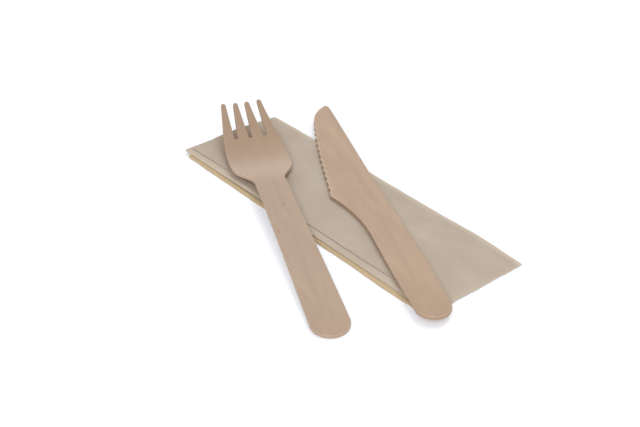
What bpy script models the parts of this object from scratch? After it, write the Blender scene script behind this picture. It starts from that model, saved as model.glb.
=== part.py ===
"""Disposable cutlery set: a wooden fork and a wooden knife lying on a folded paper napkin.

The origin is the centre of the napkin's flat underside. +X runs along the napkin's long side,
+Y goes to its back crease and +Z is up. Sizes are in millimetres and become metres in add_object.
"""

from math import asin, hypot, pi, radians

import bmesh
import bpy
import numpy as np

MM = 0.001
SEAT_GAP = 0.3
WELD_DISTANCE = 1e-4
SHARP_ANGLE = 30.0

# Napkin: thin tissue folded in half, then into six panels
PAPER_THICKNESS = 0.1
PANELS = 6
PLY_GAP = 0.1
PANEL_GAP = 0.14
NAPKIN_LENGTH = 152.0
NAPKIN_WIDTH = 50.2
UPPER_CREASE_STEP = 1.4
TOP_EDGE_STEP = 3.2
INNER_EDGE_STEP = 2.0
LOWER_CREASE_SLIP = 3.6
BACK_CREASE_SLIP = 3.0
TOP_EDGE_SLIP = 1.5
TOP_EDGE_SAG = 0.11
LOWER_LEAN = 0.6
UPPER_LEAN = 1.2
RIGHT_END_SLIP = 2.6
CREASE_SEGMENTS = 4

# Fork and knife are cut from the same veneer
VENEER_THICKNESS = 1.6

# Knife: stations run from the blade's end along the axis of the handle
KNIFE_LENGTH = 162.8
HANDLE_WIDTH = 15.0
HANDLE_STATION = 130.0
HANDLE_END_WIDTH = 13.7
NECK_WIDTH = 14.6
NECK_STATION = 106.0
HEEL_STATION = 74.8
HEEL_DEPTH = 14.5
BELLY_STATION = 36.0
BELLY_DEPTH = 8.9
POINT_STATION = 8.0
POINT_DEPTH = 2.4
NOSE_DEPTH = -3.2
NOSE_HEIGHT = 5.0
NOSE_ROUNDING = 4.0
SPINE_HEIGHT = 6.4
SPINE_STATION = 58.0
TOOTH_PITCH = 4.55
TOOTH_DEPTH = 0.5
TOOTH_SHARPNESS = 3
FIRST_TOOTH = 13.0
BEVEL_WIDTH = 1.3
BEVEL_DROP = 0.4
BEVEL_ON_TEETH = 0.6
BEVEL_FADE = 6.0
KNIFE_PLACE = (-66.2, 41.7)
KNIFE_HEADING = -24.2

# Fork: stations run from the tine tips along the blank
FORK_LENGTH = 157.8
FORK_TIP_WIDTH = 18.0
FORK_HEAD_WIDTH = 26.2
FORK_HEAD_STATION = 37.0
FORK_SHOULDER_WIDTH = 25.1
FORK_SHOULDER_STATION = 44.9
FORK_NECK_WIDTH = 13.0
FORK_NECK_STATION = 57.5
FORK_HANDLE_WIDTH = 15.0
SLOT_LENGTH = 21.6
SLOT_END_WIDTH = 1.5
SLOT_SHARE = 0.545
MIDDLE_SLOT_WIDTH = 3.0
SIDE_SLOT_WIDTH = 3.4
SIDE_SLOT_PLACE = 5.3
TINE_ROUNDING = 1.2
TIP_LIFT = 8.7
TIP_LIFT_POWER = 1.65
BOWL_STATION = 38.0
CREST_STATION = 64.0
CREST_LIFT = 3.2
HANDLE_BOW_POWER = 1.5
TIP_DISH = 1.2
BOWL_DISH = 1.0
DISH_END_STATION = 75.0
DISH_LEVEL_LENGTH = 4.0
FORK_PLACE = (-77.7, 8.2)
FORK_HEADING = -25.05
TINES = 4
STEEPEST_SLOPE = 0.9
NORMAL_REACH = 0.01

# Steps of the meshes along and across the blanks
TOOTH_STEPS = 8
ROUND_END_STEPS = 8
NOSE_STEPS = 9
SMALL_ROUND_STEPS = 4
TINE_STEPS = 6
BOWL_STEPS = 7
BEND_STEPS = 11
HANDLE_STEPS = 11
TINE_WIDTH_STEPS = 2
CURVE_SAMPLES = 641


def clear_scene():
    for old in list(bpy.data.objects):
        bpy.data.objects.remove(old)


def material(name, colour, roughness):
    """A plain surface whose colour is linear RGB."""
    finish = bpy.data.materials.new(name)
    finish.use_nodes = True
    shader = finish.node_tree.nodes["Principled BSDF"]
    shader.inputs["Base Color"].default_value = (*colour, 1.0)
    shader.inputs["Roughness"].default_value = roughness
    shader.inputs["Metallic"].default_value = 0.0
    return finish


def smooth_curve(x, knots):
    """A curve through the knots that never overshoots them, level at each peak and dip."""
    at, value = (np.array(column, float) for column in zip(*knots))
    span = np.diff(at)
    slope = np.diff(value) / span
    onward = slope[:-1] * slope[1:] > 0
    first, second = (np.where(onward, part, 1.0) for part in (slope[:-1], slope[1:]))
    wide, narrow = span[:-1] + 2 * span[1:], 2 * span[:-1] + span[1:]
    mean = (wide + narrow) / (wide / first + narrow / second)
    tangent = np.concatenate([slope[:1], np.where(onward, mean, 0.0), slope[-1:]])
    piece = np.clip(np.searchsorted(at, x) - 1, 0, len(span) - 1)
    q = np.clip((x - at[piece]) / span[piece], 0.0, 1.0)
    rise = (value[piece + 1] - value[piece]) * q * q * (3 - 2 * q)
    lean = tangent[piece] * (1 - q) - tangent[piece + 1] * q
    return value[piece] + rise + span[piece] * q * (1 - q) * lean


def round_end(x, start, end):
    """The share of its width that a strip keeps where it closes in a half circle at end."""
    return np.sqrt(1.0 - np.clip((x - start) / (end - start), 0.0, 1.0) ** 2)


def end_stations(start, end, steps):
    """Stations from start to end, evenly spaced round the arc that closes there."""
    return start + (end - start) * np.sin(np.linspace(0.0, pi / 2, steps + 1))


def stations(*stretches):
    return np.unique(np.concatenate(stretches).round(6))


def add_object(name, bm, finish, place=(0.0, 0.0, 0.0), turn=(0.0, 0.0, 0.0)):
    bmesh.ops.remove_doubles(bm, verts=bm.verts, dist=WELD_DISTANCE)
    bmesh.ops.recalc_face_normals(bm, faces=bm.faces)
    bmesh.ops.scale(bm, vec=(MM, MM, MM), verts=bm.verts)
    mesh = bpy.data.meshes.new(name)
    bm.to_mesh(mesh)
    bm.free()
    mesh.materials.append(finish)
    mesh.shade_smooth()
    mesh.set_sharp_from_angle(angle=radians(SHARP_ANGLE))
    piece = bpy.data.objects.new(name, mesh)
    piece.location = [value * MM for value in place]
    piece.rotation_euler = turn
    bpy.context.collection.objects.link(piece)


def add_skin(bm, near, far, closed=True):
    """Quads between two rows of points; a closed row joins its last point to its first."""
    count = len(near)
    for i in range(count if closed else count - 1):
        j = (i + 1) % count
        bm.faces.new([bm.verts.new(point) for point in (near[i], near[j], far[j], far[i])])


def add_cap(bm, ring):
    bm.faces.new([bm.verts.new(point) for point in ring])


def panel_half_height():
    return PAPER_THICKNESS + PLY_GAP / 2


def panel_pitch():
    return 2 * panel_half_height() + PANEL_GAP


def napkin_height():
    return (PANELS - 1) * panel_pitch() + 2 * panel_half_height()


def crease(lower, upper, edge, rising, lean=0.0):
    """Crease between two levels whose outside reaches the edge, as rows of y, z and the sheet's
    normal: a half circle whose lower side leans outwards. A rising crease is passed from its
    lower level to its upper one."""
    outwards = 1.0 if edge > 0 else -1.0
    radius = (upper - lower) / 2
    reach = hypot(radius + panel_half_height(), lean / 2) + lean / 2
    turn = np.linspace(-pi / 2, pi / 2, CREASE_SEGMENTS + 1) * (1 if rising else -1)
    normal = np.stack([np.cos(turn) * outwards, np.sin(turn)], axis=1)
    y = edge - outwards * (reach - radius * np.cos(turn) - lean * (1 - np.sin(turn)) / 2)
    z = (lower + upper) / 2 + radius * np.sin(turn)
    facing = 1.0 if rising == (edge > 0) else -1.0
    return np.hstack([np.stack([y, z], axis=1), normal * facing])


def napkin_profile():
    """The strip's middle line as rows of y, z, normal y, normal z, left end x and right end x.

    From the bottom up the six panels are e, a, d, c, b and f, in the order a to f along the
    strip. The creases at the back nest round one centre; a's free edge lies in the lower crease.
    """
    e, a, d, c, b, f = panel_half_height() + panel_pitch() * np.arange(PANELS)
    back, front = NAPKIN_WIDTH / 2, -NAPKIN_WIDTH / 2
    upper_edge = front + UPPER_CREASE_STEP
    left, right = -NAPKIN_LENGTH / 2, NAPKIN_LENGTH / 2
    low_left, back_left, top_left = (left + slip for slip in
                                     (LOWER_CREASE_SLIP, BACK_CREASE_SLIP, TOP_EDGE_SLIP))
    short = right - RIGHT_END_SLIP
    nested = (f - e) / 2
    parts = [
        ([[front + INNER_EDGE_STEP, a, 0.0, -1.0]], low_left, short),
        (crease(a, b, back - nested + (b - a) / 2, True), back_left, short),
        (crease(c, b, upper_edge, False, UPPER_LEAN), left, short),
        (crease(d, c, back - nested + (c - d) / 2, False), back_left, short),
        (crease(e, d, front, False, LOWER_LEAN), low_left, short),
        (crease(e, f, back, True), back_left, right),
        ([[upper_edge + TOP_EDGE_STEP, f - TOP_EDGE_SAG, 0.0, 1.0]], top_left, right),
    ]
    return np.vstack([np.hstack([rows, np.tile(ends, (len(rows), 1))]) for rows, *ends in parts])


def half_fold_section():
    """The doubled sheet cut lengthwise: rows of end (0 left, 1 right), distance and offset."""
    outer = panel_half_height()
    turn = np.linspace(-pi / 2, pi / 2, CREASE_SEGMENTS + 1)
    rows = []
    for radius, order in ((outer, 1), (outer - PAPER_THICKNESS, -1)):
        arc = [(1, radius * np.cos(a) - outer, radius * np.sin(a)) for a in turn]
        rows += ([(0, 0.0, -radius)] + arc + [(0, 0.0, radius)])[::order]
    return np.array(rows)


def add_napkin():
    side, along, offset = half_fold_section().T
    rings = [np.stack([np.where(side > 0, right, left) + along, y + ny * offset, z + nz * offset],
                      axis=1) for y, z, ny, nz, left, right in napkin_profile()]
    bm = bmesh.new()
    for near, far in zip(rings, rings[1:]):
        add_skin(bm, near, far)
    add_cap(bm, rings[0])
    add_cap(bm, rings[-1])
    add_object("napkin", bm, material("undyed_tissue", (0.51, 0.43, 0.34), 0.9))


def knife_spine(x):
    """Height of the spine above the axis, rounded down to the nose at the blade's end."""
    grip_end = KNIFE_LENGTH - HANDLE_END_WIDTH / 2
    spine = smooth_curve(x, [(0.0, SPINE_HEIGHT), (SPINE_STATION, SPINE_HEIGHT),
                             (NECK_STATION, NECK_WIDTH / 2), (HANDLE_STATION, HANDLE_WIDTH / 2),
                             (grip_end, HANDLE_END_WIDTH / 2)])
    nose = (SPINE_HEIGHT - NOSE_HEIGHT) * (1.0 - round_end(x, NOSE_ROUNDING, 0.0))
    return (spine - nose) * round_end(x, grip_end, KNIFE_LENGTH)


def notch(x):
    """1 at the bottom of each notch between two round teeth, 0 on the teeth and off the row."""
    wave = np.abs(np.cos(pi * (HEEL_STATION - x) / TOOTH_PITCH)) ** TOOTH_SHARPNESS
    return np.where((x > FIRST_TOOTH) & (x < HEEL_STATION - TOOTH_PITCH / 2), wave, 0.0)


def knife_edge(x):
    """Depth of the lower side under the axis: toothed edge, sweep behind the heel, handle."""
    grip_end = KNIFE_LENGTH - HANDLE_END_WIDTH / 2
    blade = smooth_curve(x, [(0.0, NOSE_DEPTH), (POINT_STATION, POINT_DEPTH),
                             (BELLY_STATION, BELLY_DEPTH), (HEEL_STATION, HEEL_DEPTH)])
    blade += (-NOSE_HEIGHT - NOSE_DEPTH) * (1.0 - round_end(x, NOSE_ROUNDING, 0.0))
    blade -= TOOTH_DEPTH * notch(x)
    q = np.clip((x - HEEL_STATION) / (NECK_STATION - HEEL_STATION), 0.0, 1.0)
    sweep = (HEEL_DEPTH - NECK_WIDTH / 2) * (1.0 - q) ** 2
    handle = smooth_curve(x, [(NECK_STATION, NECK_WIDTH / 2), (HANDLE_STATION, HANDLE_WIDTH / 2),
                              (grip_end, HANDLE_END_WIDTH / 2)])
    grip = (handle + sweep) * round_end(x, grip_end, KNIFE_LENGTH)
    return np.where(x < HEEL_STATION, blade, grip)


def knife_stations():
    teeth = np.arange(HEEL_STATION, POINT_STATION, -TOOTH_PITCH / TOOTH_STEPS)
    grip_end = KNIFE_LENGTH - HANDLE_END_WIDTH / 2
    return stations(end_stations(POINT_STATION, 0.0, NOSE_STEPS), teeth,
                    np.linspace(HEEL_STATION, NECK_STATION, HANDLE_STEPS),
                    np.linspace(NECK_STATION, grip_end, HANDLE_STEPS),
                    end_stations(grip_end, KNIFE_LENGTH, ROUND_END_STEPS))


def add_knife():
    x = knife_stations()
    spine, edge = knife_spine(x), -knife_edge(x)
    low, high = np.zeros(len(x)), np.full(len(x), VENEER_THICKNESS)
    bevel = edge + np.minimum(BEVEL_WIDTH, (spine - edge) / 2)
    from_nose, from_heel = (np.clip(gap / BEVEL_FADE, 0.0, 1.0) for gap in
                            (x, HEEL_STATION + BEVEL_FADE - x))
    share = BEVEL_ON_TEETH + (1.0 - BEVEL_ON_TEETH) * notch(x)
    thin = high - BEVEL_DROP * share * np.minimum(from_nose, from_heel)
    y = np.stack([edge, spine, spine, bevel, edge], axis=1)
    z = np.stack([low, low, high, high, thin], axis=1)
    rings = np.stack(np.broadcast_arrays(x[:, None], y, z), axis=2)
    bm = bmesh.new()
    for near, far in zip(rings, rings[1:]):
        add_skin(bm, near, far)
    add_object("knife", bm, material("birch_veneer", (0.52, 0.38, 0.29), 0.6),
               (*KNIFE_PLACE, napkin_height() + SEAT_GAP), (0.0, 0.0, radians(KNIFE_HEADING)))


def fork_half_width(u):
    grip_end = FORK_LENGTH - FORK_HANDLE_WIDTH / 2
    width = smooth_curve(u, [(0.0, FORK_TIP_WIDTH), (FORK_HEAD_STATION, FORK_HEAD_WIDTH),
                             (FORK_SHOULDER_STATION, FORK_SHOULDER_WIDTH),
                             (FORK_NECK_STATION, FORK_NECK_WIDTH), (grip_end, FORK_HANDLE_WIDTH)])
    return width / 2 * round_end(u, grip_end, FORK_LENGTH)


def slot_half_width(u, tip_width):
    """A slot narrows from the tips and closes in a half circle at its end."""
    radius = SLOT_END_WIDTH / 2
    taper = tip_width / 2 + (radius - tip_width / 2) * np.clip(u / (SLOT_LENGTH - radius), 0, 1)
    return np.where(u < SLOT_LENGTH, taper * round_end(u, SLOT_LENGTH - radius, SLOT_LENGTH), 0.0)


def tine_sides(u):
    """Both sides of the four tines, which meet behind the slots and run on into the handle."""
    side = fork_half_width(u)
    place = side * smooth_curve(u, [(0.0, 2 * SIDE_SLOT_PLACE / FORK_TIP_WIDTH),
                                    (SLOT_LENGTH, SLOT_SHARE), (FORK_LENGTH, SLOT_SHARE)])
    gap, middle = slot_half_width(u, SIDE_SLOT_WIDTH), slot_half_width(u, MIDDLE_SLOT_WIDTH)
    tines = [(-side, -place - gap), (gap - place, -middle), (middle, place - gap),
             (place + gap, side)]
    tip = round_end(u, TINE_ROUNDING, 0.0)
    return [((a + b) / 2 - tip * (b - a) / 2, (a + b) / 2 + tip * (b - a) / 2) for a, b in tines]


def fork_lift(u):
    """Height of the pressed blank above the plane through its bowl and its handle's end."""
    tines = TIP_LIFT * np.clip((BOWL_STATION - u) / BOWL_STATION, 0.0, 1.0) ** TIP_LIFT_POWER
    q = np.clip((u - BOWL_STATION) / (CREST_STATION - BOWL_STATION), 0.0, 1.0)
    handle = np.clip((u - CREST_STATION) / (FORK_LENGTH - CREST_STATION), 0.0, 1.0)
    return tines + CREST_LIFT * (q * q * (3 - 2 * q) - handle ** HANDLE_BOW_POWER)


def fork_surface(u, t):
    """The blank's middle surface after pressing: bent along its length and dished across."""
    fine = np.linspace(0.0, FORK_LENGTH, CURVE_SAMPLES)
    slope = np.gradient(fork_lift(fine), fine)
    level = np.sqrt(1.0 - np.clip(slope, -STEEPEST_SLOPE, STEEPEST_SLOPE) ** 2)
    plan = np.concatenate([[0.0], np.cumsum((level[1:] + level[:-1]) / 2 * np.diff(fine))])
    dish = smooth_curve(u, [(0.0, TIP_DISH), (BOWL_STATION / 2, BOWL_DISH),
                            (BOWL_STATION + DISH_LEVEL_LENGTH, BOWL_DISH), (DISH_END_STATION, 0.0),
                            (FORK_LENGTH, 0.0)])
    z = fork_lift(u) + dish * (2 * t / FORK_HEAD_WIDTH) ** 2
    return np.stack([np.interp(u, fine, plan), t, z], axis=-1)


def fork_faces(u, t):
    """Points of the lower and the upper face, half the veneer's thickness off the middle."""
    along = fork_surface(u + NORMAL_REACH, t) - fork_surface(u - NORMAL_REACH, t)
    across = fork_surface(u, t + NORMAL_REACH) - fork_surface(u, t - NORMAL_REACH)
    normal = np.cross(along, across)
    normal *= VENEER_THICKNESS / 2 / np.linalg.norm(normal, axis=-1, keepdims=True)
    middle = fork_surface(u, t)
    return middle - normal, middle + normal


def fork_stations():
    grip_end = FORK_LENGTH - FORK_HANDLE_WIDTH / 2
    slot_round = SLOT_LENGTH - SLOT_END_WIDTH / 2
    return stations(end_stations(TINE_ROUNDING, 0.0, SMALL_ROUND_STEPS),
                    np.linspace(TINE_ROUNDING, slot_round, TINE_STEPS + 1),
                    end_stations(slot_round, SLOT_LENGTH, SMALL_ROUND_STEPS),
                    np.linspace(SLOT_LENGTH, FORK_SHOULDER_STATION, BOWL_STEPS + 1),
                    np.linspace(FORK_SHOULDER_STATION, CREST_STATION, BEND_STEPS),
                    np.linspace(CREST_STATION, grip_end, HANDLE_STEPS + 1),
                    end_stations(grip_end, FORK_LENGTH, ROUND_END_STEPS))


def add_fork():
    u = fork_stations()
    across = np.linspace(0.0, 1.0, TINE_WIDTH_STEPS + 1)
    bm = bmesh.new()
    last = np.searchsorted(u, SLOT_LENGTH)
    for index, (left, right) in enumerate(tine_sides(u)):
        t = left[:, None] + (right - left)[:, None] * across
        lower, upper = fork_faces(np.repeat(u[:, None], len(across), axis=1), t)
        for i in range(len(u) - 1):
            add_skin(bm, lower[i], lower[i + 1], closed=False)
            add_skin(bm, upper[i], upper[i + 1], closed=False)
            for side, outside in ((0, index == 0), (-1, index == TINES - 1)):
                if outside or i < last:
                    wall = [lower[i, side], upper[i, side]], [lower[i + 1, side], upper[i + 1, side]]
                    add_skin(bm, *wall, closed=False)
    seat = napkin_height() + SEAT_GAP
    tilt = asin(seat / (FORK_LENGTH - BOWL_STATION))
    lift = VENEER_THICKNESS / 2 + seat * FORK_LENGTH / (FORK_LENGTH - BOWL_STATION)
    add_object("fork", bm, material("pressed_birch_veneer", (0.50, 0.37, 0.28), 0.6),
               (*FORK_PLACE, lift), (0.0, tilt, radians(FORK_HEADING)))


clear_scene()
add_napkin()
add_knife()
add_fork()
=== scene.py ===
from math import asin, hypot, pi, radians

import bmesh
import bpy
import numpy as np
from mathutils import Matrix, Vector


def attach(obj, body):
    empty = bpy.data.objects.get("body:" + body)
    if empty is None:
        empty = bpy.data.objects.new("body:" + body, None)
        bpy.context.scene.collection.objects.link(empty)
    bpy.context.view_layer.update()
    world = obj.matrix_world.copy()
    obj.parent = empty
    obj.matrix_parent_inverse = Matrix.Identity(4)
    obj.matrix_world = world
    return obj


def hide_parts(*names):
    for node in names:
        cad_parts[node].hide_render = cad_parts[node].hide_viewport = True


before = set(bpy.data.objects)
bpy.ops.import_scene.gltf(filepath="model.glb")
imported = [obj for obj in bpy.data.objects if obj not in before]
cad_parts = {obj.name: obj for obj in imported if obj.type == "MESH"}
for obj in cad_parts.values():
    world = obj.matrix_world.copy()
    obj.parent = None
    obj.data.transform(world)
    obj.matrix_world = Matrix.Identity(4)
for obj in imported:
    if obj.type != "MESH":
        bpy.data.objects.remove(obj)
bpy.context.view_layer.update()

# Knife. One flat piece of rotary-cut birch veneer with a toothed and bevelled edge. It is punched
# out of the sheet and tumbled, which rounds the arrises a little, and it lies loose on the napkin.
# Shapes are in millimetres up to solid(), which turns them into metres.
MM = 0.001
WELD = 1e-4
SMOOTH_ANGLE = 50.0
VENEER_HALF = 0.8
ARRIS = 0.4
ARRIS_STEPS = 6
ARRIS_SHARE = 0.3
OUTLINE_SPACING = 0.05
OUTLINE_WINDOW = 3.0
OUTLINE_BATCH = 400
KNIFE_LENGTH = 162.8
KNIFE_PLACE = (-66.2, 41.7, 3.5)
KNIFE_HEADING = -24.2
NOSE_ROUND = 4.0
NOSE_DEPTH = -3.2
NOSE_HEIGHT = 5.0
POINT = 8.0
POINT_DEPTH = 2.4
BELLY = 36.0
BELLY_DEPTH = 8.9
HEEL = 74.8
HEEL_DEPTH = 14.5
JUST_PAST = 0.001
SPINE = 6.4
SPINE_END = 58.0
NECK = 106.0
NECK_HALF = 7.3
HANDLE = 130.0
HANDLE_HALF = 7.5
HANDLE_END_HALF = 6.85
TOOTH_PITCH = 4.55
TOOTH_DEPTH = 0.5
FIRST_TOOTH = 13.0
BEVEL_WIDTH = 1.3
BEVEL_DROP = 0.4
BEVEL_FADE = 6.0
BEVEL_ON_TEETH = 0.6
NOSE_STEPS = 40
TOOTH_STEPS = 28
SWEEP_STATIONS = 60
HANDLE_STATIONS = 40
HANDLE_END_STEPS = 30
KNIFE_STEPS_ACROSS = 16
# Each row: cycles per millimetre along, across and through the blank, detail, distortion. Waves
# of tone are 33 mm long and 6 mm wide, fibres 8 by 0.3 mm, and pores 3 by 0.14 mm.
VENEER_GRAIN = (((0.03, 0.16, 0.4), 3.0, 0.8), ((0.12, 3.2, 3.2), 4.0, 0.3), ((0.35, 7.0, 5.0), 1.0, 0.0))
# Stations on the blank where the painted shade on the tines and bowl starts and is full, where the
# painted sheen behind the bowl lies, how far from there the sheen starts and is full, and where the
# painted shade toward the handle's end starts and is full.
HEAD_SHADE_REACH = (46.0, 24.0)
SHEEN_PLACE = 48.0
SHEEN_REACH = (14.0, 3.0)
GRIP_SHADE_REACH = (120.0, 160.0)
# Tone of the painted highlight along the arrises
ARRIS_HIGHLIGHT_TONE = "#d2beab"
# Further off than any mark is seen
FAR = 1000.0
KNIFE_TONES = ("#bfa792", "#b69e8a", "#a18770", "#86664e", "#c8b09b")
# Each fleck: its centre on the blank, heading in degrees, half length, half width
KNIFE_MARKS = ((30.2, -6.2, 0.0, 1.1, 0.25), (52.2, 5.8, 0.0, 1.5, 0.175), (80.8, 0.5, 0.0, 1.25, 0.2))
# Share of the knife's cut-edge tone: their own brown and painted shade on the walls
KNIFE_CUT_AND_SHADE = 0.5


def smooth_curve(x, knots):
    """A cubic through the knots that never overshoots them and is level at each peak and dip."""
    at, value = (np.array(column, float) for column in zip(*knots))
    span = np.diff(at)
    slope = np.diff(value) / span
    onward = slope[:-1] * slope[1:] > 0
    first, second = (np.where(onward, part, 1.0) for part in (slope[:-1], slope[1:]))
    wide, narrow = span[:-1] + 2 * span[1:], 2 * span[:-1] + span[1:]
    mean = (wide + narrow) / (wide / first + narrow / second)
    tangent = np.concatenate([slope[:1], np.where(onward, mean, 0.0), slope[-1:]])
    piece = np.clip(np.searchsorted(at, x) - 1, 0, len(span) - 1)
    q = np.clip((x - at[piece]) / span[piece], 0.0, 1.0)
    rise = (value[piece + 1] - value[piece]) * q * q * (3 - 2 * q)
    lean = tangent[piece] * (1 - q) - tangent[piece + 1] * q
    return value[piece] + rise + span[piece] * q * (1 - q) * lean


def round_end(x, start, end):
    """The share of its width that a strip keeps where it closes in a half circle at end."""
    return np.sqrt(1.0 - np.clip((x - start) / (end - start), 0.0, 1.0) ** 2)


def end_stations(start, end, steps):
    """Stations from start to end, evenly spaced round the arc that closes there."""
    return start + (end - start) * np.sin(np.linspace(0.0, pi / 2, steps + 1))


def across(low, high, steps):
    """Places across a strip from low to high: close together over the arris at each side and
    evenly spaced between. Each row's places stay in order where the strip is narrow."""
    arris = ARRIS * (1 - np.cos(np.linspace(0.0, pi / 2, ARRIS_STEPS)))
    middle = np.linspace(0.0, 1.0, steps + 1)[1:-1]
    side = np.minimum(arris, (high - low) * ARRIS_SHARE * np.linspace(0.0, 1.0, ARRIS_STEPS))
    inner_low, inner_high = low + side[:, -1:], high - side[:, -1:]
    return np.hstack([low + side, inner_low + (inner_high - inner_low) * middle,
                      high - side[:, ::-1]])


def rim_distance(plan, outline):
    """Distance from each point of the plan to the nearest point of the outline, which is
    resampled so that its points are OUTLINE_SPACING apart. Only the outline within
    OUTLINE_WINDOW of a batch of points along the piece is measured for that batch."""
    samples = []
    for line in outline:
        step = np.linalg.norm(np.diff(line, axis=0), axis=1)
        length = np.concatenate([[0.0], np.cumsum(step)])
        at = np.union1d(np.arange(0.0, length[-1], OUTLINE_SPACING), length)
        samples.append(np.stack([np.interp(at, length, line[:, k]) for k in (0, 1)], axis=1))
    samples = np.vstack(samples)
    flat = plan.reshape(-1, 2)
    distance = np.zeros(len(flat))
    for rows in np.array_split(np.arange(len(flat)), len(flat) // OUTLINE_BATCH + 1):
        low, high = flat[rows, 0].min() - OUTLINE_WINDOW, flat[rows, 0].max() + OUTLINE_WINDOW
        near = samples[(samples[:, 0] > low) & (samples[:, 0] < high)]
        gap = flat[rows, None] - near
        distance[rows] = np.sqrt((gap ** 2).sum(axis=-1).min(axis=1))
    return distance.reshape(plan.shape[:-1])


def arris_height(distance):
    """Half the veneer's thickness at a distance from the rim: a quarter circle, then level."""
    inside = ARRIS - np.minimum(distance, ARRIS)
    return VENEER_HALF - ARRIS + np.sqrt(ARRIS ** 2 - inside ** 2)


def solid(name, grids, finish):
    """One closed mesh from grids of points in millimetres, each given with a grid of its places
    on the flat blank, which becomes the attribute "blank". Neighbours on a grid are joined by
    quads, points that coincide are welded, and a quad that closes up there becomes a triangle."""
    quads, first = [], 0
    for points, _ in grids:
        rows, columns = points.shape[:2]
        index = first + np.arange(rows * columns).reshape(rows, columns)
        corners = [index[:-1, :-1], index[1:, :-1], index[1:, 1:], index[:-1, 1:]]
        quads.append(np.stack(corners, axis=-1).reshape(-1, 4))
        first += rows * columns
    points = np.vstack([grid.reshape(-1, 3) for grid, _ in grids])
    blank = np.vstack([places.reshape(-1, 3) for _, places in grids])
    _, kept, welded = np.unique((points / WELD).round().astype(np.int64), axis=0,
                                return_index=True, return_inverse=True)
    quads = welded.reshape(-1)[np.vstack(quads)]
    distinct = quads != np.roll(quads, 1, axis=1)
    uncrossed = (quads[:, 0] != quads[:, 2]) & (quads[:, 1] != quads[:, 3])
    whole = (distinct.sum(axis=1) > 2) & uncrossed
    quads, distinct = quads[whole], distinct[whole]
    counts = distinct.sum(axis=1)
    mesh = bpy.data.meshes.new(name)
    mesh.vertices.add(len(kept))
    mesh.vertices.foreach_set("co", (points[kept] * MM).ravel())
    mesh.loops.add(int(counts.sum()))
    mesh.loops.foreach_set("vertex_index", quads[distinct].astype(np.int32))
    mesh.polygons.add(len(counts))
    mesh.polygons.foreach_set("loop_start", (np.cumsum(counts) - counts).astype(np.int32))
    mesh.update(calc_edges=True)
    mesh.validate()
    attribute = mesh.attributes.new("blank", "FLOAT_VECTOR", "POINT")
    attribute.data.foreach_set("vector", blank[kept].ravel())
    skin = bmesh.new()
    skin.from_mesh(mesh)
    bmesh.ops.recalc_face_normals(skin, faces=skin.faces)
    skin.to_mesh(mesh)
    skin.free()
    mesh.shade_smooth()
    mesh.set_sharp_from_angle(angle=radians(SMOOTH_ANGLE))
    mesh.materials.append(finish)
    piece = bpy.data.objects.new(name, mesh)
    bpy.context.collection.objects.link(piece)
    return piece


def placed(points, place, heading, tilt=0.0):
    """Points of a blank turned by tilt about Y and by heading about Z, then moved to place."""
    lean, turn = radians(tilt), radians(heading)
    x, y, z = np.moveaxis(points, -1, 0)
    x, z = x * np.cos(lean) + z * np.sin(lean), z * np.cos(lean) - x * np.sin(lean)
    turned = [x * np.cos(turn) - y * np.sin(turn), x * np.sin(turn) + y * np.cos(turn), z]
    return np.stack(turned, axis=-1) + np.array(place)


def linear(code):
    """A hex colour in sRGB as linear RGB with alpha 1."""
    srgb = np.array([int(code[i:i + 2], 16) / 255 for i in (1, 3, 5)])
    rgb = np.where(srgb > 0.04045, ((srgb + 0.055) / 1.055) ** 2.4, srgb / 12.92)
    return (*rgb, 1.0)


def add(tree, kind, inputs=None, **settings):
    """Adds a node with its settings. Each input is a value or another node's output."""
    node = tree.nodes.new(kind)
    for name, value in settings.items():
        setattr(node, name, value)
    for name, value in (inputs or {}).items():
        if isinstance(value, bpy.types.NodeSocket):
            tree.links.new(value, node.inputs[name])
        else:
            node.inputs[name].default_value = value
    return node


def new_material(name):
    """A material with nodes: itself, its tree and its Principled shader."""
    finish = bpy.data.materials.new(name)
    finish.use_nodes = True
    return finish, finish.node_tree, finish.node_tree.nodes["Principled BSDF"]


def grain(tree, blank, rows):
    """Noise patterns that follow the flat blank. Each is given by its cycles per millimetre along
    the blank, across it and through it, its detail and its distortion."""
    patterns = []
    for cycles, detail, distortion in rows:
        place = add(tree, "ShaderNodeVectorMath", {0: blank, 1: cycles}, operation="MULTIPLY").outputs[0]
        noise = add(tree, "ShaderNodeTexNoise", {"Vector": place, "Scale": 1.0, "Detail": detail,
                                                 "Distortion": distortion})
        patterns.append(noise.outputs[0])
    return patterns


def nearest_mark(tree, place, marks):
    """Distance to the nearest mark in shares of its half length and half width. Each mark is its
    centre x and y, heading in degrees, half length and half width, all in millimetres."""
    nearest = FAR
    for x, y, heading, half_length, half_width in marks:
        turned = add(tree, "ShaderNodeMapping",
                     {"Vector": place, "Location": (x, y, 0.0), "Rotation": (0.0, 0.0, radians(heading)),
                      "Scale": (half_length, half_width, FAR)}, vector_type="TEXTURE").outputs[0]
        reach = add(tree, "ShaderNodeVectorMath", {0: turned}, operation="LENGTH").outputs["Value"]
        nearest = add(tree, "ShaderNodeMath", {0: nearest, 1: reach}, operation="MINIMUM").outputs[0]
    return nearest


def layered(tree, base, layers):
    """The base tone with further tones laid over it in turn. Each layer is a value, where on it
    the tone starts, where it is full, the share that it then covers, and the tone."""
    colour = linear(base)
    for value, start, full, share, tone in layers:
        cover = add(tree, "ShaderNodeMapRange", {"Value": value, "From Min": start, "From Max": full,
                                                 "To Max": share}).outputs[0]
        mixed = add(tree, "ShaderNodeMix", {0: cover, 6: colour, 7: linear(tone)}, data_type="RGBA")
        colour = mixed.outputs[2]
    return colour


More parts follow.
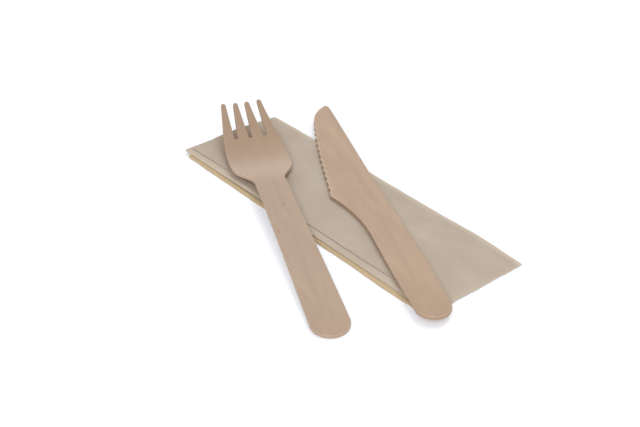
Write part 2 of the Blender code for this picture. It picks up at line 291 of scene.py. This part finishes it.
def veneer(name, tones, marks, cut, pressed=0.0):
    """Rotary-cut birch veneer, steamed, cut and tumbled but not finished: matt, with broad soft
    waves of tone along the length, fine fibres, short pores, a few small brown flecks, painted
    shade toward the handle's end and a painted highlight on the arrises. cut is how far the cut
    edges darken, partly their own brown and partly painted shade on the walls, and pressed is
    the share of painted shade on the tines and the bowl and of a painted sheen on the rise
    behind the bowl."""
    pale, warm, fibre_tone, pore_tone, sheen_tone = tones
    finish, tree, shader = new_material(name)
    blank = add(tree, "ShaderNodeAttribute", attribute_name="blank").outputs["Vector"]
    place = add(tree, "ShaderNodeSeparateXYZ", {0: blank}).outputs
    depth = add(tree, "ShaderNodeMath", {0: place["Z"]}, operation="ABSOLUTE").outputs[0]
    broad, fibres, pores = grain(tree, blank, VENEER_GRAIN)
    layers = [(broad, 0.35, 0.65, 1.0, warm)]
    # Painted shade over the tines and the bowl, and a painted sheen on the rise behind the bowl
    if pressed:
        past = add(tree, "ShaderNodeMath", {0: place["X"], 1: SHEEN_PLACE}, operation="SUBTRACT")
        past = add(tree, "ShaderNodeMath", {0: past.outputs[0]}, operation="ABSOLUTE").outputs[0]
        layers += [(place["X"], *HEAD_SHADE_REACH, pressed, fibre_tone),
                   (past, *SHEEN_REACH, pressed, sheen_tone)]
    # Painted shade toward the handle's end, fibres and pores, a painted highlight on the arrises, the cut
    # edges' own brown with painted shade on the walls, and the flecks
    layers += [(place["X"], *GRIP_SHADE_REACH, 0.35, fibre_tone),
               (fibres, 0.4, 0.8, 0.1, fibre_tone),
               (pores, 0.66, 0.76, 0.2, pore_tone),
               (depth, 0.78, 0.6, 0.5, ARRIS_HIGHLIGHT_TONE),
               (depth, 0.55, 0.35, cut, pore_tone),
               (nearest_mark(tree, blank, marks), 1.3, 0.2, 0.55, pore_tone)]
    relief = add(tree, "ShaderNodeBump", {"Height": fibres, "Strength": 0.12, "Distance": 0.05 * MM})
    tree.links.new(layered(tree, pale, layers), shader.inputs["Base Color"])
    tree.links.new(relief.outputs[0], shader.inputs["Normal"])
    shader.inputs["Roughness"].default_value = 0.75
    shader.inputs["IOR"].default_value = 1.45
    shader.inputs["Specular IOR Level"].default_value = 0.15
    return finish


def notch(x):
    """1 at the bottom of each notch between two teeth and 0 on the teeth: the third power of a
    cosine, which keeps the notches narrow and the teeth round."""
    wave = np.abs(np.cos(pi * (HEEL - x) / TOOTH_PITCH)) ** 3
    return np.where((x > FIRST_TOOTH) & (x < HEEL - TOOTH_PITCH / 2), wave, 0.0)


def knife_sides(x):
    """Both sides of the knife at stations from the nose: the toothed edge with the sweep behind
    the heel below the axis, the spine above it, and half circles at the handle's end."""
    grip = KNIFE_LENGTH - HANDLE_END_HALF
    close = round_end(x, grip, KNIFE_LENGTH)
    nose = 1.0 - round_end(x, NOSE_ROUND, 0.0)
    blade = smooth_curve(x, [(0.0, NOSE_DEPTH), (POINT, POINT_DEPTH), (BELLY, BELLY_DEPTH),
                             (HEEL, HEEL_DEPTH)])
    blade -= (NOSE_HEIGHT + NOSE_DEPTH) * nose + TOOTH_DEPTH * notch(x)
    handle = [(NECK, NECK_HALF), (HANDLE, HANDLE_HALF), (grip, HANDLE_END_HALF)]
    q = np.clip((x - HEEL) / (NECK - HEEL), 0.0, 1.0)
    lower = (smooth_curve(x, handle) + (HEEL_DEPTH - NECK_HALF) * (1 - q) ** 2) * close
    spine = smooth_curve(x, [(0.0, SPINE), (SPINE_END, SPINE), *handle])
    return -np.where(x < HEEL, blade, lower), (spine - (SPINE - NOSE_HEIGHT) * nose) * close


def knife_piece():
    """Upper and lower face half the thickness off the middle, with the bevel taken off the upper
    one along the edge, and walls that close them at both sides and both ends."""
    grip = KNIFE_LENGTH - HANDLE_END_HALF
    stations = np.unique(np.concatenate([
        end_stations(POINT, 0.0, NOSE_STEPS), np.arange(HEEL, POINT, -TOOTH_PITCH / TOOTH_STEPS),
        np.linspace(HEEL, NECK, SWEEP_STATIONS), [HEEL + JUST_PAST],
        np.linspace(NECK, grip, HANDLE_STATIONS),
        end_stations(grip, KNIFE_LENGTH, HANDLE_END_STEPS)]).round(4))
    low, high = knife_sides(stations)
    y = across(low[:, None], high[:, None], KNIFE_STEPS_ACROSS)
    x = np.broadcast_to(stations[:, None], y.shape)
    outline = [np.stack([stations, side], axis=1) for side in (low, high)]
    half = arris_height(rim_distance(np.stack([x, y], axis=-1), outline))
    fade = np.clip(np.minimum(x, HEEL + BEVEL_FADE - x) / BEVEL_FADE, 0.0, 1.0)
    fade *= BEVEL_ON_TEETH + (1.0 - BEVEL_ON_TEETH) * notch(x)
    bevel = BEVEL_DROP * fade * np.clip(1.0 - (y - low[:, None]) / BEVEL_WIDTH, 0.0, 1.0)
    top, bottom = np.stack([x, y, half - bevel], axis=-1), np.stack([x, y, -half], axis=-1)
    walls = [np.stack([bottom[:, side], top[:, side]], axis=1) for side in (0, -1)]
    ends = [np.stack([bottom[end], top[end]], axis=0) for end in (0, -1)]
    return [(placed(grid, KNIFE_PLACE, KNIFE_HEADING), grid) for grid in (top, bottom, *walls, *ends)]


knife_veneer = veneer("birch_veneer_cut", KNIFE_TONES, KNIFE_MARKS, KNIFE_CUT_AND_SHADE)
knife = solid("birch_knife", knife_piece(), knife_veneer)
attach(knife, "root")
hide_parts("knife")


# Fork. The same veneer, cut with three slots and hot-pressed: the bowl is dished, the tine tips
# and the neck stand up, and the handle runs back down to the table. It lies loose on the napkin.
FORK_LENGTH = 157.8
FORK_PLACE = (-77.7, 8.2)
FORK_HEADING = -25.05
FORK_SEAT = 2.8
TIP_WIDTH = 18.0
HEAD = 37.0
HEAD_WIDTH = 26.2
SHOULDER = 44.9
SHOULDER_WIDTH = 25.1
FORK_NECK = 57.5
NECK_WIDTH = 13.0
GRIP_WIDTH = 15.0
SLOT_LENGTH = 21.6
SLOT_END = 0.75
SIDE_SLOT = 3.4
MIDDLE_SLOT = 3.0
SIDE_SLOT_PLACE = 5.3
SLOT_SHARE = 0.545
TINE_ROUND = 1.2
BOWL = 38.0
CREST = 64.0
CREST_LIFT = 3.2
HANDLE_BOW_POWER = 1.5
TIP_LIFT = 8.7
TIP_LIFT_POWER = 1.65
TIP_DISH = 1.2
BOWL_DISH = 1.0
DISH_RUN = 4.0
DISH_END = 75.0
CURVE_STATIONS = 1601
STEEPEST = 0.9
NORMAL_STEP = 0.01
TIP_STEPS = 14
TINE_STATIONS = 40
SLOT_END_STEPS = 12
BRIDGE = 0.6
BRIDGE_STATIONS = 8
BOWL_STATIONS = 110
FORK_HANDLE_STATIONS = 60
FORK_END_STEPS = 26
TINE_STEPS_ACROSS = 8
FORK_TONES = ("#baa592", "#b29d8b", "#a48b75", "#82634a", "#c6b19f")
FORK_MARKS = ((77.8, 0.8, 0.0, 1.8, 0.3), (94.5, -5.2, 0.0, 1.5, 0.25), (14.2, 1.8, 0.0, 1.25, 0.3))
# Share of the fork's cut-edge tone: their own brown and painted shade on the walls
FORK_CUT_AND_SHADE = 0.25
# Share of the painted shade on the tines and bowl and of the painted sheen behind the bowl
FORK_HEAD_SHADE_AND_SHEEN = 0.75


def fork_half_width(u):
    """Half the blank's width at station u from the tips, closed in a half circle at the handle."""
    grip = FORK_LENGTH - GRIP_WIDTH / 2
    width = smooth_curve(u, [(0.0, TIP_WIDTH), (HEAD, HEAD_WIDTH), (SHOULDER, SHOULDER_WIDTH),
                             (FORK_NECK, NECK_WIDTH), (grip, GRIP_WIDTH)])
    return width / 2 * round_end(u, grip, FORK_LENGTH)


def slot_half_width(u, tip_width):
    """A slot narrows from the tips and closes in a half circle at its end."""
    start = SLOT_LENGTH - SLOT_END
    taper = tip_width / 2 + (SLOT_END - tip_width / 2) * np.clip(u / start, 0, 1)
    return np.where(u < SLOT_LENGTH, taper * round_end(u, start, SLOT_LENGTH), 0.0)


def tine_sides(u):
    """Both sides of the four tines, which meet behind the slots and run on into the handle."""
    side = fork_half_width(u)
    place = side * smooth_curve(u, [(0.0, 2 * SIDE_SLOT_PLACE / TIP_WIDTH), (SLOT_LENGTH, SLOT_SHARE),
                                    (FORK_LENGTH, SLOT_SHARE)])
    gap, middle = slot_half_width(u, SIDE_SLOT), slot_half_width(u, MIDDLE_SLOT)
    tines = [(-side, -place - gap), (gap - place, -middle), (middle, place - gap), (place + gap, side)]
    tip = round_end(u, TINE_ROUND, 0.0)
    return [((a + b) / 2 - tip * (b - a) / 2, (a + b) / 2 + tip * (b - a) / 2) for a, b in tines]


def fork_lift(u):
    """Height of the pressed blank: the tines rise as a power of their distance from the bowl's
    lowest place, the neck rises in a smooth step and the handle bows back down."""
    tines = TIP_LIFT * np.clip((BOWL - u) / BOWL, 0.0, 1.0) ** TIP_LIFT_POWER
    q = np.clip((u - BOWL) / (CREST - BOWL), 0.0, 1.0)
    handle = np.clip((u - CREST) / (FORK_LENGTH - CREST), 0.0, 1.0)
    return tines + CREST_LIFT * (q * q * (3 - 2 * q) - handle ** HANDLE_BOW_POWER)


def fork_surface(u, t):
    """Middle of the pressed blank at station u and distance t from its axis: its length follows
    the curve of fork_lift, and the bowl rises with the square of t."""
    fine = np.linspace(0.0, FORK_LENGTH, CURVE_STATIONS)
    slope = np.gradient(fork_lift(fine), fine)
    level = np.sqrt(1.0 - np.clip(slope, -STEEPEST, STEEPEST) ** 2)
    plan = np.concatenate([[0.0], np.cumsum((level[1:] + level[:-1]) / 2 * np.diff(fine))])
    dish = smooth_curve(u, [(0.0, TIP_DISH), (BOWL / 2, BOWL_DISH), (BOWL + DISH_RUN, BOWL_DISH),
                            (DISH_END, 0.0), (FORK_LENGTH, 0.0)])
    z = fork_lift(u) + dish * (2 * t / HEAD_WIDTH) ** 2
    return np.stack([np.interp(u, fine, plan), t, z], axis=-1)


def fork_piece():
    """Four strips side by side, each with an upper and a lower face half the thickness off the
    middle surface along its normal, and walls along the outside and the slots."""
    grip, slot = FORK_LENGTH - GRIP_WIDTH / 2, SLOT_LENGTH - SLOT_END
    stations = np.unique(np.concatenate([
        end_stations(TINE_ROUND, 0.0, TIP_STEPS), np.linspace(TINE_ROUND, slot, TINE_STATIONS),
        end_stations(slot, SLOT_LENGTH, SLOT_END_STEPS),
        SLOT_LENGTH + BRIDGE * np.linspace(0, 1, BRIDGE_STATIONS) ** 2,
        np.linspace(SLOT_LENGTH + BRIDGE, CREST, BOWL_STATIONS),
        np.linspace(CREST, grip, FORK_HANDLE_STATIONS),
        end_stations(grip, FORK_LENGTH, FORK_END_STEPS)]).round(4))
    sides = tine_sides(stations)
    last = len(sides) - 1
    cut = stations <= SLOT_LENGTH
    outline = []
    for k, (low, high) in enumerate(sides):
        for side, outside in ((low, k == 0), (high, k == last)):
            outline.append(np.stack([stations, side], axis=1)[cut | outside])
    tilt = asin(FORK_SEAT / (FORK_LENGTH - BOWL))
    lift = VENEER_HALF + FORK_SEAT * FORK_LENGTH / (FORK_LENGTH - BOWL)
    grids = []
    for k, (low, high) in enumerate(sides):
        t = across(low[:, None], high[:, None], TINE_STEPS_ACROSS)
        u = np.broadcast_to(stations[:, None], t.shape)
        half = arris_height(rim_distance(np.stack([u, t], axis=-1), outline))[..., None]
        normal = np.cross(fork_surface(u + NORMAL_STEP, t) - fork_surface(u - NORMAL_STEP, t),
                          fork_surface(u, t + NORMAL_STEP) - fork_surface(u, t - NORMAL_STEP))
        normal *= half / np.linalg.norm(normal, axis=-1, keepdims=True)
        middle = fork_surface(u, t)
        faces = [middle - normal, middle + normal]
        blanks = [np.concatenate([u[..., None], t[..., None], s * half], axis=-1) for s in (-1, 1)]
        grids += zip(faces, blanks)
        for side, outside in ((0, k == 0), (-1, k == last)):
            walls = (np.stack([grid[cut | outside, side] for grid in pair], axis=1)
                     for pair in (faces, blanks))
            grids.append(tuple(walls))
    return [(placed(points, (*FORK_PLACE, lift), FORK_HEADING, np.degrees(tilt)), blank)
            for points, blank in grids]


fork_veneer = veneer("birch_veneer_pressed", FORK_TONES, FORK_MARKS, FORK_CUT_AND_SHADE, FORK_HEAD_SHADE_AND_SHEEN)
fork = solid("birch_fork", fork_piece(), fork_veneer)
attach(fork, "root")
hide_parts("fork")


# Napkin. One sheet of thin undyed tissue, folded in half and then pleated into six panels by
# machine. It lies flat on the table under the cutlery, its layers a little out of step.
PAPER = 0.1
PLY_GAP = 0.1
PANEL_GAP = 0.14
PANEL_HALF = PAPER + PLY_GAP / 2
PANEL_PITCH = 2 * PANEL_HALF + PANEL_GAP
NAPKIN_TOP = 5 * PANEL_PITCH + 2 * PANEL_HALF
NAPKIN_LENGTH = 152.0
NAPKIN_WIDTH = 50.2
UPPER_CREASE_STEP = 1.4
TOP_EDGE_STEP = 3.2
INNER_EDGE_STEP = 2.0
LOWER_CREASE_SLIP = 3.6
TOP_EDGE_SLIP = 1.5
TOP_EDGE_SAG = 0.11
LOWER_LEAN = 0.6
UPPER_LEAN = 1.2
BACK_CREASE_SLIP = 3.0
RIGHT_END_SLIP = 2.6
SHORTEST_PANEL = 10.0
NEAR_CREASE = 0.8
CREASE_STEPS = 8
INNER_PANEL_STEPS = 6
TOP_PANEL_STEPS = 56
LENGTH_STEPS = 110
# Waves of the layers' left and right ends, of their creases and of their faces. Each is its
# wavelength, phase and height.
LEFT_WAVES = ((31.0, 0.4, 0.25), (13.0, 2.0, 0.12))
RIGHT_WAVES = ((17.0, 1.0, 0.12), (7.3, 0.3, 0.06), (3.9, 2.2, 0.04))
CREASE_WAVES = ((84.0, 0.6, 0.25), (37.0, 1.9, 0.12), (11.0, 0.2, 0.05))
FACE_WAVES = ((61.0, 1.0, 0.05), (23.0, 2.6, 0.03))
FACE_WAVE_SLANT = 0.5
FACE_WAVE_REST = 0.05
# The layers' left ends slip by a sine of their height, and the creases' waves turn over with it.
LAYER_SLIP = 0.15
SLIP_TURN = 9.0
CREASE_TURN = 1.3
# Each broad wrinkle: centre x and y, heading in degrees, half length, half width, height
WRINKLES = ((32.0, 9.0, -3.0, 12.0, 2.2, 0.14), (-46.0, 12.0, 20.0, 7.0, 2.4, 0.14),
            (-60.0, 17.0, -70.0, 6.0, 1.6, 0.16))
PRESSED_FROM = 40.0
PRESSED_SHARE = 0.4
OVERHANG_START = 0.4
DROOP = 0.7
DROOP_POWER = 1.5
FLARE = 0.6
ARCH = 2.4
ARCH_PLACE = 3.0
ARCH_HALF = 13.0
ARCH_REACH = 7.0
PUFF = 0.5
PUFF_PLACE = -28.0
PUFF_HALF = 18.0
# Reach of the painted glow on the lower crease, widths and share of the painted highlights along the back
# crease and the right end, and how the front strip's painted highlight fades to the right
CREASE_TONE_REACH = 0.4
BACK_RIM = 1.5
END_RIM = 1.0
END_RIM_SHARE = 0.5
STRIP_SHARE = 0.7
STRIP_LEAST = 0.5
STRIP_FADE = 80.0
# Each row: cycles per millimetre along, across and through the blank, detail, distortion. Clouds
# are 20 mm long and fibres 0.8 mm. Crepe lines are 3 by 0.2 mm, as coarse as they need to be to
# show.
TISSUE_GRAIN = (((0.05, 0.07, 0.0), 3.0, 0.0), ((1.3, 1.3, 0.0), 4.0, 0.6), ((0.35, 4.5, 0.0), 3.0, 0.2))
# Pale, warm and fibre tones, then the painted golden glow, painted front light and painted highlight
TISSUE_TONES = ("#bdb1a2", "#b5a898", "#a8977f", "#c5ae83", "#c4af90", "#c9bba9")
# Each small wrinkle in the top panel, with a painted highlight on its ridge: centre x and y,
# heading in degrees, half length, half width
PUCKERS = ((22.2, 14.0, -1.0, 4.0, 0.35), (35.1, 14.7, -4.0, 2.8, 0.35), (36.0, 5.9, 35.0, 1.6, 0.35),
           (42.2, 7.1, 1.0, 2.4, 0.35), (56.8, 22.6, -6.0, 3.5, 0.35), (-46.3, 14.0, 17.0, 2.6, 0.35),
           (18.9, 21.9, -7.0, 4.0, 0.35))
PUCKER_REACH = (1.6, 0.0)
PUCKER_RISE = 0.1


def crease(lower, upper, edge, rising, lean=0.0):
    """Crease between two levels whose outside reaches the edge, as rows of y, z and the sheet's
    normal: a half circle whose lower side leans outwards. A rising crease is passed from its
    lower level to its upper one."""
    outwards = 1.0 if edge > 0 else -1.0
    radius = (upper - lower) / 2
    reach = hypot(radius + PANEL_HALF, lean / 2) + lean / 2
    turn = np.linspace(-pi / 2, pi / 2, CREASE_STEPS + 1) * (1 if rising else -1)
    normal = np.stack([np.cos(turn) * outwards, np.sin(turn)], axis=1)
    y = edge - outwards * (reach - radius * np.cos(turn) - lean * (1 - np.sin(turn)) / 2)
    z = (lower + upper) / 2 + radius * np.sin(turn)
    facing = 1.0 if rising == (edge > 0) else -1.0
    return np.hstack([np.stack([y, z], axis=1), normal * facing])


def napkin_profile():
    """The strip's middle line as rows of y, z, normal y, normal z, left end x, right end x and
    length along the strip. The strip runs through its panels in the order a to f, which lie in
    the order e, a, d, c, b, f from the table up. Each panel is divided evenly and has one more
    row near each of its creases."""
    e, a, d, c, b, f = PANEL_HALF + PANEL_PITCH * np.arange(6)
    back, front = NAPKIN_WIDTH / 2, -NAPKIN_WIDTH / 2
    upper_edge = front + UPPER_CREASE_STEP
    left, right = -NAPKIN_LENGTH / 2, NAPKIN_LENGTH / 2
    low_left, back_left, top_left = (left + slip for slip in
                                     (LOWER_CREASE_SLIP, BACK_CREASE_SLIP, TOP_EDGE_SLIP))
    short = right - RIGHT_END_SLIP
    nested = (f - e) / 2
    opening = np.minimum(np.linspace(0.0, 2.0, CREASE_STEPS + 1), 1.0)
    parts = [
        ([[front + INNER_EDGE_STEP, a, 0.0, -1.0]], low_left, short),
        (crease(a, b, back - nested + (b - a) / 2, True), back_left, short),
        (crease(c, b, upper_edge, False, UPPER_LEAN), left, short),
        (crease(d, c, back - nested + (c - d) / 2, False), back_left, short),
        (crease(e, d, front, False, LOWER_LEAN), low_left, short),
        (crease(e, f, back, True), back_left, short + RIGHT_END_SLIP * opening),
        ([[upper_edge + TOP_EDGE_STEP, f - TOP_EDGE_SAG, 0.0, 1.0]], top_left, right),
    ]
    rows = np.vstack([np.column_stack([line, *(np.broadcast_to(end, len(line)) for end in ends)])
                      for line, *ends in parts])
    span = np.linalg.norm(np.diff(rows[:, :2], axis=0), axis=1)
    length = np.concatenate([[0.0], np.cumsum(span)])
    panels = span > SHORTEST_PANEL
    steps = np.where(panels, INNER_PANEL_STEPS, 1)
    steps[-1] = TOP_PANEL_STEPS
    divided = [np.linspace(start, end, count, endpoint=False)
               for start, end, count in zip(length[:-1], length[1:], steps)]
    at = np.unique(np.concatenate([*divided, length[-1:], length[:-1][panels] + NEAR_CREASE,
                                   length[1:][panels] - NEAR_CREASE]))
    return np.stack([*(np.interp(at, length, column) for column in rows.T), at], axis=1)


def half_fold_section():
    """The doubled sheet cut lengthwise: rows of share of the length, distance past the end,
    offset from the middle and place across the sheet."""
    turn = np.linspace(-pi / 2, pi / 2, CREASE_STEPS + 1)
    share = np.linspace(0.0, 1.0, LENGTH_STEPS + 1)[:-1]
    rows = []
    for radius, order in ((PANEL_HALF, 1), (PANEL_HALF - PAPER, -1)):
        lower = [(s, 0.0, -radius, s) for s in share]
        arc = [(1.0, radius * np.cos(a) - PANEL_HALF, radius * np.sin(a), 1.0) for a in turn]
        upper = [(s, 0.0, radius, 2.0 - s) for s in share[::-1]]
        rows += (lower + arc + upper)[::order]
    return np.array(rows + rows[:1])


def ripple(x, waves):
    """A sum of sines, each given by its wavelength in millimetres, phase and height."""
    return sum(height * np.sin(2 * pi * x / length + phase) for length, phase, height in waves)


def bell(x, place, half):
    """A bell curve: e to the power of minus the square of the distance from place over half."""
    return np.exp(-((x - place) / half) ** 2)


def wrinkle_lift(x, y):
    """Height of the top face's slow waves and broad wrinkles. A wrinkle is a bell curve along its
    heading times one across it."""
    lift = ripple(x + FACE_WAVE_SLANT * y, FACE_WAVES) - FACE_WAVE_REST
    for centre_x, centre_y, heading, half_length, half_width, height in WRINKLES:
        turn = radians(heading)
        along = (x - centre_x) * np.cos(turn) + (y - centre_y) * np.sin(turn)
        aside = (y - centre_y) * np.cos(turn) - (x - centre_x) * np.sin(turn)
        lift = lift + height * bell(along, 0.0, half_length) * bell(aside, 0.0, half_width)
    return lift


def fold_tone(x, y, ny, upper, strip):
    """How far painted light and shade change the tissue's tone: 1 for the painted golden glow and
    shade on the lower crease and 2 for painted light where it faces front, -1 for the painted
    highlight on the front strip, which fades to the right, along the back crease and, weaker, at
    the right end."""
    reach = (UPPER_CREASE_STEP - NAPKIN_WIDTH / 2 - y) / CREASE_TONE_REACH
    golden = np.clip(reach + 1.0, 0.0, 1.0) * (1.0 + np.clip(-ny, 0.0, 1.0))
    back_rim = np.clip((y - NAPKIN_WIDTH / 2 + 2 * BACK_RIM) / BACK_RIM, 0.0, 1.0)
    end_rim = END_RIM_SHARE * np.clip((x - NAPKIN_LENGTH / 2) / END_RIM + 1.0, 0.0, 1.0)
    light_strip = strip * np.clip(STRIP_SHARE - x / STRIP_FADE, STRIP_LEAST, 1.0)
    return np.where(upper, -np.maximum(light_strip, np.maximum(back_rim, end_rim)), golden)


def napkin_piece():
    """The doubled section carried along the pleated line. The layers' ends and creases waver, and
    the wrinkles lift each layer in proportion to its height above the table. To the right the
    stack is pressed flatter and the top panel, which reaches past the others, droops and flares.
    The top panel's left end is arched up by a bell curve across it that fades exponentially from
    the end, and the front strip is puffed up by a bell curve along it."""
    y, z, ny, nz, left, right, length = (column[:, None] for column in napkin_profile().T)
    share, past, offset, sheet = half_fold_section().T
    middle_z = z + nz * offset
    low = left + ripple(y, LEFT_WAVES) + LAYER_SLIP * np.sin(SLIP_TURN * z)
    high = right + ripple(y, RIGHT_WAVES)
    x = low + (high - low) * share + past
    depth = y + ny * offset + ripple(x, CREASE_WAVES) * np.cos(CREASE_TURN * middle_z)
    lift = wrinkle_lift(x, depth)
    pressed = np.clip((x - PRESSED_FROM) / (NAPKIN_LENGTH / 2 - PRESSED_FROM), 0.0, 1.0)
    overhang = NAPKIN_LENGTH / 2 - RIGHT_END_SLIP + OVERHANG_START
    droop = np.clip((x - overhang) / (NAPKIN_LENGTH / 2 - overhang), 0.0, 1.0) ** DROOP_POWER
    depth = depth * (1.0 + 2 * FLARE * droop / NAPKIN_WIDTH)
    height = middle_z * (1.0 + lift / NAPKIN_TOP - PRESSED_SHARE * pressed ** 2) * (1.0 - DROOP * droop)
    upper = z > NAPKIN_TOP / 2
    strip_edge = UPPER_CREASE_STEP + TOP_EDGE_STEP - NAPKIN_WIDTH / 2
    strip = np.clip((strip_edge - y) / TOP_EDGE_STEP, 0.0, 1.0)
    puff = strip * upper * bell(x, PUFF_PLACE, PUFF_HALF)
    top_panel = np.clip((z + PANEL_HALF - NAPKIN_TOP) / PANEL_PITCH + 1.0, 0.0, 1.0)
    arch = top_panel * bell(depth, ARCH_PLACE, ARCH_HALF) * np.exp((-NAPKIN_LENGTH / 2 - x) / ARCH_REACH)
    rings = np.stack([x, depth, height + PUFF * puff + ARCH * arch], axis=-1)
    fold = fold_tone(x, y, ny, upper, strip)
    places = np.stack(np.broadcast_arrays(sheet * NAPKIN_LENGTH, length, fold), axis=-1)
    half = (rings.shape[1] - 1) // 2
    caps = [tuple(np.stack([grid[end, :half], grid[end, half:-1][::-1]]) for grid in (rings, places))
            for end in (0, -1)]
    return [(rings, places), *caps]


def tissue(name):
    """Undyed recycled tissue, creped as it is scraped off the drying drum: matt, with soft clouds
    of tone, its fibres a faint mottle, and fine lines across the sheet. The lower creases carry a
    painted golden glow and shade, with painted light where they face front, and the front strip,
    the rims and the small wrinkles' ridges carry painted highlights."""
    pale, warm, shade, golden, painted_front_light, light = TISSUE_TONES
    finish, tree, shader = new_material(name)
    blank = add(tree, "ShaderNodeAttribute", attribute_name="blank").outputs["Vector"]
    fold = add(tree, "ShaderNodeSeparateXYZ", {0: blank}).outputs["Z"]
    cloud, fibres, crepe = grain(tree, blank, TISSUE_GRAIN)
    position = add(tree, "ShaderNodeTexCoord").outputs["Object"]
    position = add(tree, "ShaderNodeVectorMath", {0: position, 1: (1 / MM, 1 / MM, 1 / MM)},
                   operation="MULTIPLY").outputs[0]
    pucker = nearest_mark(tree, position, PUCKERS)
    # The tissue's own clouds and fibres, then the painted golden glow and shade of the lower crease,
    # painted light where it faces front, painted highlights on the strip and rims, and painted highlights
    # on the wrinkles' ridges
    colour = layered(tree, pale, [(cloud, 0.35, 0.65, 1.0, warm),
                                  (fibres, 0.5, 0.85, 0.4, shade),
                                  (fold, 0.0, 1.0, 1.0, golden),
                                  (fold, 1.0, 1.8, 1.0, painted_front_light),
                                  (fold, 0.0, -1.0, 1.0, light),
                                  (pucker, *PUCKER_REACH, 0.5, light)])
    relief = add(tree, "ShaderNodeBump", {"Height": crepe, "Strength": 0.3, "Distance": 0.1 * MM})
    start, full = PUCKER_REACH
    ridge = add(tree, "ShaderNodeMapRange", {"Value": pucker, "From Min": start, "From Max": full})
    relief = add(tree, "ShaderNodeBump", {"Height": ridge.outputs[0], "Strength": 1.0,
                                          "Distance": PUCKER_RISE * MM, "Normal": relief.outputs[0]})
    tree.links.new(colour, shader.inputs["Base Color"])
    tree.links.new(relief.outputs[0], shader.inputs["Normal"])
    shader.inputs["Roughness"].default_value = 0.95
    shader.inputs["Specular IOR Level"].default_value = 0.15
    return finish


napkin = solid("tissue_napkin", napkin_piece(), tissue("undyed_tissue_creped"))
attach(napkin, "root")
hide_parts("napkin")


# Floor. A plain matt white table that runs out of sight and keeps the set's soft shadow. A faint
# cool light of its own keeps that shadow as pale and grey as on a lit table in a white room.
FLOOR_HALF = 6.0


def white_table():
    """Matt white lacquer: no highlight, and the object's shadow as the only thing to be seen."""
    finish, _, shader = new_material("matt_white_table")
    shader.inputs["Base Color"].default_value = linear("#f7f8fb")
    shader.inputs["Roughness"].default_value = 0.9
    shader.inputs["Specular IOR Level"].default_value = 0.0
    shader.inputs["Emission Color"].default_value = linear("#dae8fb")
    shader.inputs["Emission Strength"].default_value = 0.2
    return finish


floor_mesh = bpy.data.meshes.new("floor")
corners = [(sx * FLOOR_HALF, sy * FLOOR_HALF, 0.0) for sx, sy in ((-1, -1), (1, -1), (1, 1), (-1, 1))]
floor_mesh.from_pydata(corners, [], [(0, 1, 2, 3)])
floor_mesh.materials.append(white_table())
floor = bpy.data.objects.new("floor", floor_mesh)
bpy.context.collection.objects.link(floor)


# Light. Soft surroundings, warm near the table and cool above, a large soft key above and behind
# the set, and a wide fill from the camera's side.
WARM_UP_TO = 0.6


def surroundings(strength, low_tint, high_tint):
    """Light all round that goes from the low tint at the table's level to the high one. What the
    camera sees directly, or in a reflection, is plain white."""
    world = bpy.data.worlds.new("white_surroundings")
    world.use_nodes = True
    tree = world.node_tree
    rays = add(tree, "ShaderNodeLightPath").outputs
    seen = rays["Is Camera Ray"]
    for kind in ("Is Glossy Ray", "Is Transmission Ray"):
        seen = add(tree, "ShaderNodeMath", {0: seen, 1: rays[kind]}, operation="MAXIMUM").outputs[0]
    direction = add(tree, "ShaderNodeTexCoord").outputs["Generated"]
    height = add(tree, "ShaderNodeSeparateXYZ", {0: direction}).outputs["Z"]
    colour = layered(tree, low_tint, [(height, 0.0, WARM_UP_TO, 1.0, high_tint),
                                      (seen, 0.0, 1.0, 1.0, "#ffffff")])
    level = add(tree, "ShaderNodeMapRange", {"Value": seen, "To Min": strength}).outputs[0]
    back = tree.nodes["Background"]
    tree.links.new(colour, back.inputs["Color"])
    tree.links.new(level, back.inputs["Strength"])
    bpy.context.scene.world = world


def area_light(name, place, size, power, tint):
    """A round soft light at a place in metres that faces the middle of the set."""
    lamp = bpy.data.lights.new(name, "AREA")
    lamp.shape = "DISK"
    lamp.size = size
    lamp.energy = power
    lamp.color = linear(tint)[:3]
    light = bpy.data.objects.new(name, lamp)
    light.location = place
    light.rotation_euler = (-Vector(place)).to_track_quat("-Z", "Y").to_euler()
    bpy.context.collection.objects.link(light)


surroundings(0.69, "#e6bd8f", "#f6faff")
area_light("soft_key", (-0.1, 0.55, 1.1), 0.8, 4.3, "#ffffff")
area_light("front_fill", (0.6, -0.75, 0.75), 0.6, 5.2, "#fffbf7")


# Camera. It stands half a metre off the set's corner, a third of the way up to the vertical.
LENS = 71.66
EYE = Vector((0.3287, -0.28925, 0.2812))
AIM = Vector((-0.00135, -0.00999, 0.0))
camera = bpy.data.objects.new("camera", bpy.data.cameras.new("camera"))
camera.data.lens = LENS
camera.data.clip_start = 0.01
camera.location = EYE
camera.rotation_euler = (AIM - EYE).to_track_quat("-Z", "Y").to_euler()
bpy.context.collection.objects.link(camera)
bpy.context.scene.camera = camera
bpy.context.scene.view_settings.view_transform = "Standard"
